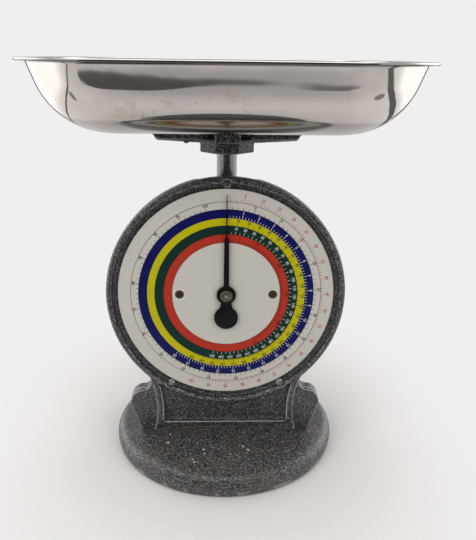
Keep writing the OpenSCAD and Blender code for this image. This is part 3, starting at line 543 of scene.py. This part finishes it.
def printed(name, bm, material):
    """A piece of the dial's print, with its faces turned to the front."""
    bmesh.ops.recalc_face_normals(bm, faces=bm.faces)
    bm.normal_update()
    for f in bm.faces:
        if f.normal.y > 0:
            f.normal_flip()
    piece(name, as_mesh(bm, name), material, "housing")


def tick(bm, degrees, inner, outer, width, y):
    a = math.radians(degrees)
    c, s = math.cos(a), math.sin(a)
    corners = [(-width / 2, inner), (width / 2, inner), (width / 2, outer), (-width / 2, outer)]
    bm.faces.new([bm.verts.new(((x * c + r * s) * MM, y * MM, (DIAL_Z + r * c - x * s) * MM)) for x, r in corners])


def number(bm, value, degrees, radius, height, y):
    """Digits that stand upright on the dial's radius, a little narrow and bold."""
    size_per_height, bold, narrow = 1.42, 0.028, 0.85
    curve = bpy.data.curves.new("digits", "FONT")
    curve.body = str(value)
    curve.align_x = "CENTER"
    curve.align_y = "CENTER"
    curve.size = height * size_per_height * MM
    curve.resolution_u = 2
    curve.offset = bold * height * MM
    o = linked("digits", curve)
    bpy.context.view_layer.update()
    mesh = bpy.data.meshes.new_from_object(o)
    bpy.data.objects.remove(o)
    mesh.transform(Matrix.Translation((0, y * MM, DIAL_Z * MM)) @ Matrix.Rotation(math.radians(degrees), 4, "Y")
                   @ Matrix.Translation((0, 0, radius * MM)) @ Matrix.Rotation(math.pi / 2, 4, "X")
                   @ Matrix.Diagonal((narrow, 1, 1, 1)))
    bm.from_mesh(mesh)
    bpy.data.meshes.remove(mesh)


# Coloured rings of the dial: inner and outer radius in millimetres
RINGS = (("ring_red", 44.9, 51.7, RED), ("ring_green", 51.7, 58.9, GREEN),
         ("ring_yellow", 58.9, 65.1, YELLOW), ("ring_blue", 65.1, 72.2, BLUE))
INKS = (("scale_black", BLACK_INK), ("scale_white", WHITE_INK), ("scale_red", RED_INK),
        ("scale_dark_red", DARK_RED_INK))
# Thin black circles on the dial: inner and outer radius
CIRCLES = tuple((r - 0.17, r + 0.17) for r in (44.75, 51.75, 58.95, 72.3)) + ((78.35, 78.7),)
# Scales of the dial, each with its own step as in the photograph: ink, ticks, degrees between ticks, ticks' inner
# radius, outer radius of short and long ones, width, ticks from one number to the next, what each number adds, and
# the numbers' radius and height
SCALES = (
    ("scale_red", 101, 2.0, 79.0, 81.0, 81.9, 0.34, 5, 5, 83.9, 2.8),
    ("scale_black", 101, 3.467, 72.6, 74.5, 75.1, 0.4, 5, 5, 76.7, 2.6),
    ("scale_white", 101, 2.18, 65.5, 67.2, 68.4, 0.42, 5, 1, 70.1, 2.7),
    ("scale_black", 51, 4.136, 59.2, 60.8, 61.5, 0.4, 2, 10, 63.3, 2.4),
    ("scale_white", 51, 3.83, 52.1, 53.5, 54.5, 0.4, 2, 10, 56.7, 2.4),
    ("scale_dark_red", 51, 3.0, 45.0, 47.2, 48.2, 0.45, 10, 100, 49.9, 2.2),
)
FILM = 0.03
# White rings round the dial's screws: how far from the middle, their radii, and how far they stand proud
SCREW_RINGS = (("screw_ring_left", -38.5), ("screw_ring_right", 38.5))
SCREW_RING_INNER, SCREW_RING_OUTER, SCREW_RING_PROUD = 4.3, 5.65, 0.43


def dial():
    """Coloured rings, scales and the white rings round the dial's screws, each a film above the one below."""
    for name, inner, outer, material in RINGS:
        bm = bmesh.new()
        flat_ring(bm, inner, outer, DIAL_FACE - FILM)
        printed(name, bm, material)
    y = DIAL_FACE - 2 * FILM
    inks = {name: bmesh.new() for name, material in INKS}
    for inner, outer in CIRCLES:
        flat_ring(inks["scale_black"], inner, outer, y)
    for ink, ticks, step, inner, short, long, width, every, worth, radius, height in SCALES:
        for i in range(ticks):
            tick(inks[ink], step * i, inner, short if i % every else long, width, y)
            if i and i % every == 0:
                number(inks[ink], i // every * worth, step * i, radius, height, y)
    for name, material in INKS:
        printed(name, inks[name], material)
    for name, x in SCREW_RINGS:
        bm = bmesh.new()
        flat_ring(bm, SCREW_RING_INNER, SCREW_RING_OUTER, DIAL_FACE - SCREW_RING_PROUD, 64)
        bmesh.ops.translate(bm, verts=bm.verts, vec=(x * MM, 0, 0))
        printed(name, bm, CHALK)


def arc(x, z, wide, high, first, last, steps):
    """Points on an arc about (x, z), from one angle in degrees to another."""
    angles = (math.radians(first + (last - first) * i / steps) for i in range(steps + 1))
    return [(x + wide * math.cos(a), z + high * math.sin(a)) for a in angles]


def pan_profile():
    """The pan's section as (distance from the corner's centre, height): the sheet's underside from the middle out,
    up the wall and round the flange's bead, and its upper side back."""
    sheet, big, bend, bead, lean, flange = 0.9, 55.6, 1.55, 1.1, math.radians(20), 7.0
    edge_wide, edge_high = 1.4, 1.2
    wall = PAN_CORNER - flange
    big_z = PAN_Z + big
    lean_z = big_z - big * math.sin(lean)
    floor = wall - (PAN_TOP - lean_z) * math.tan(lean) - big * math.cos(lean)
    lean_x = floor + big * math.cos(lean)
    flange_z = PAN_TOP - sheet
    bend_z = flange_z - bend * (1 - math.sin(lean))
    bend_x = lean_x + (wall - lean_x) * 0.99 * (bend_z - lean_z) / (flange_z - lean_z)
    points = [(0.0, PAN_Z), (floor * 0.5, PAN_Z), (floor * 0.92, PAN_Z)]
    points += arc(floor, big_z, big, big, -90, -20, 36)
    points += [(lean_x + (bend_x - lean_x) * i / 8, lean_z + (bend_z - lean_z) * i / 8) for i in range(1, 8)]
    points += arc(bend_x + bend * math.cos(lean), bend_z - bend * math.sin(lean), bend, bend, 160, 90, 5)
    points.append((wall + 3.0, flange_z))
    points += arc(PAN_CORNER - bead, PAN_TOP - bead, bead, bead, -130, 90, 12)
    points.append((wall + 2.0, PAN_TOP))
    points += arc(wall + 0.5, PAN_TOP - edge_high, edge_wide, edge_high, 90, 160, 4)
    inside = lean_x - sheet
    points += [(inside + (wall - sheet - inside) * i / 8 * 0.985, lean_z + 0.3 + (PAN_TOP - 1.6 - lean_z) * i / 8)
               for i in range(8, 0, -1)]
    points += arc(floor, big_z, big - sheet, big - sheet, -20, -90, 36)
    return points + [(floor * 0.5, PAN_Z + sheet), (0.0, PAN_Z + sheet)]


def pan():
    """The pan, lofted as one closed sheet around its four corners."""
    pole, corner_steps, side_steps = 0.02, 32, 16
    around = []
    for cx, cy, first in ((PAN_CX, PAN_CY, 0), (-PAN_CX, PAN_CY, 90), (-PAN_CX, -PAN_CY, 180), (PAN_CX, -PAN_CY, 270)):
        for i in range(corner_steps + 1):
            around.append((cx, cy, math.radians(first + 90 * i / corner_steps)))
    # Extra stations along the straight sides keep the reflections even
    stations = []
    for a, b in zip(around, around[1:] + around[:1]):
        stations.append(a)
        if a[:2] != b[:2]:
            for i in range(1, side_steps):
                f = i / side_steps
                stations.append((a[0] + (b[0] - a[0]) * f, a[1] + (b[1] - a[1]) * f, a[2]))
    bm = bmesh.new()
    rows = []
    for r, z in pan_profile():
        r = max(r, pole)
        rows.append([bm.verts.new(((x + r * math.cos(a)) * MM, (y + r * math.sin(a)) * MM, z * MM))
                     for x, y, a in stations])
    for p, q in zip(rows, rows[1:]):
        for i in range(len(stations)):
            j = (i + 1) % len(stations)
            bm.faces.new((p[i], p[j], q[j], q[i]))
    bm.faces.new(list(reversed(rows[0])))
    bm.faces.new(rows[-1])
    bmesh.ops.recalc_face_normals(bm, faces=bm.faces)
    mesh = as_mesh(bm, "steel_pan")
    smooth(mesh)
    piece("steel_pan", mesh, STEEL, "pan", ("pan",))


def camera():
    """Camera fitted to the photograph: place, tilt, a small roll, and the picture's middle moved up."""
    place = Vector((-0.0085095, -0.514433, 0.335302))
    pitch, yaw, roll, focal = 0.260638, -0.035919, 0.013925, 626.394
    picture_height, middle, sensor = 540, 222.4, 36.0
    right = Vector((math.cos(yaw), math.sin(yaw), 0))
    ahead = Vector((-math.sin(yaw) * math.cos(pitch), math.cos(yaw) * math.cos(pitch), -math.sin(pitch)))
    up = right.cross(ahead)
    data = bpy.data.cameras.new("camera")
    data.sensor_fit = "VERTICAL"
    data.sensor_height = sensor
    data.lens = focal * sensor / picture_height
    data.shift_y = (middle - picture_height / 2) / picture_height
    data.clip_start = 0.01
    data.clip_end = 60
    o = linked("camera", data)
    m = Matrix((right * math.cos(roll) + up * math.sin(roll), up * math.cos(roll) - right * math.sin(roll),
                -ahead)).transposed().to_4x4()
    m.translation = place
    o.matrix_world = m
    bpy.context.scene.camera = o


BACK = srgb(241, 239, 238)

# Shapes that only reflections show on the floor, in millimetres. The dark gap in front runs between two edges,
# each given as (x, y). The light tent's sides start at a dark strip between two edges given as (y, x), and end
# behind the scale at a slanting edge, whose nearest corner is given as (distance to the side, y).
GAP_FRONT = ((-460, -345), (-430, -369), (-370, -400), (-320, -420), (-245, -440), (-163, -453), (-100, -446),
             (-50, -440), (40, -440), (110, -436), (200, -430), (290, -408), (380, -374))
GAP_BACK = ((-460, -340), (-430, -342), (-370, -360), (-320, -366), (-163, -372), (-100, -360), (-75, -372),
            (-55, -400), (-35, -420), (0, -426), (75, -427), (95, -412), (115, -392), (160, -388), (200, -405),
            (290, -404), (380, -374))
# How dark the gap is along x, in thousandths
GAP_SHADE = ((-460, 900), (50, 900), (90, 450), (130, 780), (200, 780), (300, 650), (380, 300))
LEFT_INNER = ((-300, -556), (-230, -564), (-139, -494), (-29, -446), (89, -407), (217, -389), (444, -376))
LEFT_OUTER = ((-300, -572), (-217, -582), (-118, -519), (-19, -463), (119, -421), (274, -402), (444, -394))
LEFT_CORNER = (417, 556)
RIGHT_INNER = ((-300, 555), (-232, 573), (-181, 542), (-91, 493), (102, 431), (289, 417), (444, 412))
RIGHT_OUTER = ((-300, 610), (-200, 640), (-147, 653), (-81, 625), (5, 568), (242, 495), (444, 480))
RIGHT_CORNER = (450, 450)
# Two dark ovals beside the tent's sides: place, half length, half width, turn
SPOTS = ((-427, -125, 68, 21, 23), (420, -188, 65, 38, 9))
# How dark each kind of shape is, and how softly their edges end, in metres
SECOND_GAP_DARK, STRIP_DARK, SEAM_DARK, SPOT_DARK, ROOM_DARK = 0.3, 0.85, 0.8, 0.7, 0.9
SOFT = 0.003


def along(k, place, points):
    """Value that follows a list of (place, value), both given in thousandths, held beyond both ends."""
    first, last = points[0][0] * MM, points[-1][0] * MM
    share = k.math("DIVIDE", k.minus(place, first), last - first, clamp=True)
    stops = [((p * MM - first) / (last - first), grey((v * MM + 1) / 2)) for p, v in points]
    value = k.add("SeparateColor", {0: k.ramp(share, *stops)}).outputs[0]
    return k.minus(k.times(value, 2.0), 1.0)


def front_gap(k, x, y):
    """How dark the floor looks near the camera: the gap, a fainter one behind its middle, and a shade round both."""
    ahead = k.minus(y, along(k, x, GAP_FRONT))
    behind = k.minus(along(k, x, GAP_BACK), y)
    gap = k.times(k.step(ahead, -SOFT, SOFT), k.step(behind, -2 * SOFT, 2 * SOFT),
                  k.between(x, (-0.462, -0.455), (0.33, 0.385)), along(k, x, GAP_SHADE))
    second = k.times(k.between(y, (-0.455, -0.44), (-0.38, -0.37)), k.between(x, (-0.06, -0.03), (0.08, 0.12)))
    middle = k.between(x, (-0.28, -0.05), (0.08, 0.30))
    shade = k.times(k.between(y, (-0.475, -0.45), (-0.37, -0.15)), k.plus(k.times(middle, 0.2), 0.2))
    return k.most(k.most(gap, k.times(second, SECOND_GAP_DARK)), shade)


def tent_side(k, x, y, inner, outer, corner, way):
    """One side of the light tent: its dark strip and the dark line along its slanting end, and how bright it is."""
    slant, seam_width, seam_soft = 1.32, 0.25, 0.03
    bright_base, bright_gain, bright_reach = 1.02, 0.6, 0.22
    past_inner = k.times(k.minus(x, along(k, y, inner)), way)
    past_outer = k.times(k.minus(x, along(k, y, outer)), way)
    strip = k.times(k.step(past_inner, -SOFT, SOFT), k.step(past_outer, SOFT, -SOFT))
    out = k.times(x, way)
    behind = k.minus(k.minus(y, corner[1] * MM), k.times(k.minus(out, corner[0] * MM), slant))
    past_seam = k.minus(behind, k.times(out, seam_width))
    seam = k.times(k.step(behind, 0.0, seam_soft), k.step(past_seam, seam_soft, 0.0), k.step(out, 0.37, 0.42))
    dark = k.most(k.times(strip, STRIP_DARK), k.times(seam, SEAM_DARK))
    lit = k.times(k.step(past_outer, -SOFT, SOFT), k.step(behind, seam_soft, 0.0))
    brighter = k.times(k.step(past_outer, 0.0, bright_reach), bright_gain)
    return dark, k.times(lit, k.plus(brighter, bright_base))


def floor():
    """Pale floor that fades into the background's colour away from the scale.

    Reflections also show in it the dark gap in front, below the camera, and the edges of the light tent."""
    radius, fade_start, fade_end = 14.0, 0.12, 0.36
    bm = bmesh.new()
    bmesh.ops.create_circle(bm, cap_ends=True, radius=radius, segments=96)
    o = linked("floor", as_mesh(bm, "floor"))
    k = Mat("floor_paper")
    k.set(Base_Color=k.ramp(k.noise(3.0, 3.0), (0.3, srgb(204, 200, 198)), (0.7, srgb(210, 206, 204))),
          Roughness=0.7, Specular_IOR_Level=0.15)
    path = k.add("LightPath").outputs
    x, y, _ = k.axes(k.where)
    # The fade starts nearer the scale at the sides than in front
    far = k.length(k.vector("MULTIPLY", k.where, (1.5, 1.0, 1.0)))
    fade = k.times(k.step(far, fade_start, fade_end), path["Is Camera Ray"])
    glow = k.add("Emission", {"Color": BACK, "Strength": 1.0})
    paper = k.add("MixShader", {0: fade, 1: k.bsdf.outputs[0], 2: glow.outputs[0]})
    dark_left, bright_left = tent_side(k, x, y, LEFT_INNER, LEFT_OUTER, LEFT_CORNER, -1.0)
    dark_right, bright_right = tent_side(k, x, y, RIGHT_INNER, RIGHT_OUTER, RIGHT_CORNER, 1.0)
    bright = k.plus(bright_left, bright_right)
    dark = k.most(front_gap(k, x, y), k.most(dark_left, dark_right))
    for cx, cy, long, wide, turn in SPOTS:
        at = k.vector("SUBTRACT", k.where, (cx * MM, cy * MM, 0.0))
        dark = k.most(dark, k.times(k.step(k.oval(at, long * MM, wide * MM, turn), 1.1, 0.9), SPOT_DARK))
    # The floor of the dark room in front of the tent
    room = k.times(k.step(y, -0.62, -0.66), k.step(k.math("ABSOLUTE", x), 0.75, 0.6))
    dark = k.most(dark, k.times(room, ROOM_DARK))
    glare = k.add("Emission", {"Color": srgb(255, 252, 248), "Strength": bright})
    black = k.add("Emission", {"Color": srgb(40, 38, 40), "Strength": 1.0})
    tent = k.times(k.math("MINIMUM", bright, 1.0), path["Is Glossy Ray"])
    lit = k.add("MixShader", {0: tent, 1: paper.outputs[0], 2: glare.outputs[0]})
    dark = k.times(dark, path["Is Glossy Ray"])
    k.show(k.add("MixShader", {0: dark, 1: lit.outputs[0], 2: black.outputs[0]}))
    paint(o, k.material)


def dark_front():
    """Dark room seen through the tent's open front, behind the camera. Only reflections show it."""
    y = -1.0
    corners = [(-0.8, 0.0), (0.8, 0.0), (0.8, 0.9), (0.4, 1.1), (-0.4, 1.1), (-0.8, 0.9)]
    bm = bmesh.new()
    bm.faces.new([bm.verts.new((x, y, z)) for x, z in corners])
    o = linked("dark_front", as_mesh(bm, "dark_front"))
    paint(o, matt("room_cloth", srgb(30, 29, 29), srgb(46, 44, 44), 0.8, 6.0))
    o.visible_camera = False


def world():
    """Plain fill light, the background's colour for the camera, and the tent's bright walls in reflections."""
    fill_strength, wall_strength = 0.5, 1.6
    studio = bpy.data.worlds.new("studio")
    studio.use_nodes = True
    k = Nodes(studio.node_tree, "Generated")
    path = k.add("LightPath").outputs
    # The walls are met by rays that run level or upward to the sides and the back
    x, y, z = k.axes(k.where)
    walls = k.times(path["Is Glossy Ray"], k.step(k.math("ABSOLUTE", x), 0.35, 0.70), k.step(y, -0.2, 0.3),
                    k.step(z, 0.75, 0.45))
    strength = k.plus(k.times(walls, wall_strength), fill_strength)
    seen = k.add("Background", {"Color": BACK})
    fill = k.add("Background", {"Color": grey(1.0), "Strength": strength})
    mix = k.add("MixShader", {0: path["Is Camera Ray"], 1: fill.outputs[0], 2: seen.outputs[0]})
    k.add("OutputWorld", {0: mix.outputs[0]})
    bpy.context.scene.world = studio


def lamp(name, place, target, size, power, size_y=None):
    """Area lamp that looks at a target, square unless it has its own height."""
    data = bpy.data.lights.new(name, "AREA")
    data.energy = power
    data.size = size
    if size_y:
        data.shape = "RECTANGLE"
        data.size_y = size_y
    o = linked(name, data)
    o.location = place
    o.rotation_euler = (Vector(target) - Vector(place)).to_track_quat("-Z", "Y").to_euler()
    return o


for material, nodes in KEPT:
    for node in nodes:
        paint(NODES[node], material)
casting("front_housing", "front_casting", "housing", PAINT_FRONT, 0.6, 2, 0.45, 0.04)
casting("rear_housing", "rear_casting", "housing", PAINT, 0.9, 4, 0.4, 0.10)
casting("base", "foot_casting", "housing", PAINT_BASE, 0.9, 4, 0.4, 0.10)
casting("pan_support", "support_casting", "weigher", PAINT_SUPPORT, 0.5, 4, 0.5, 0.06, more=arm_slopes)
casting("stem", "post_casting", "weigher", PAINT_POST, 0.4, 3, 0.5, 0.04)
bevelled("pointer", "pointer_plate", "pointer_group", POINTER_BLACK, 0.2)
dial()
pan()

camera()
floor()
dark_front()
world()
middle_height, rim_height = (0, 0, 0.15), (0, 0, 0.30)
lamp("key", (-0.1, 0.0, 1.25), middle_height, 1.2, 7.0)
for name, way, power in (("fill_left", -1, 6.2), ("fill_right", 1, 5.1)):
    lamp(name, (way * 0.75, -0.7, 0.75), middle_height, 0.8, power).visible_glossy = False
for name, way in (("tent_left", -1), ("tent_right", 1)):
    tent = lamp(name, (way * 0.70, 0.40, 0.42), rim_height, 1.0, 4.0, 0.8)
    tent.visible_camera = False
    tent.visible_glossy = False
bpy.context.scene.view_settings.view_transform = "Standard"
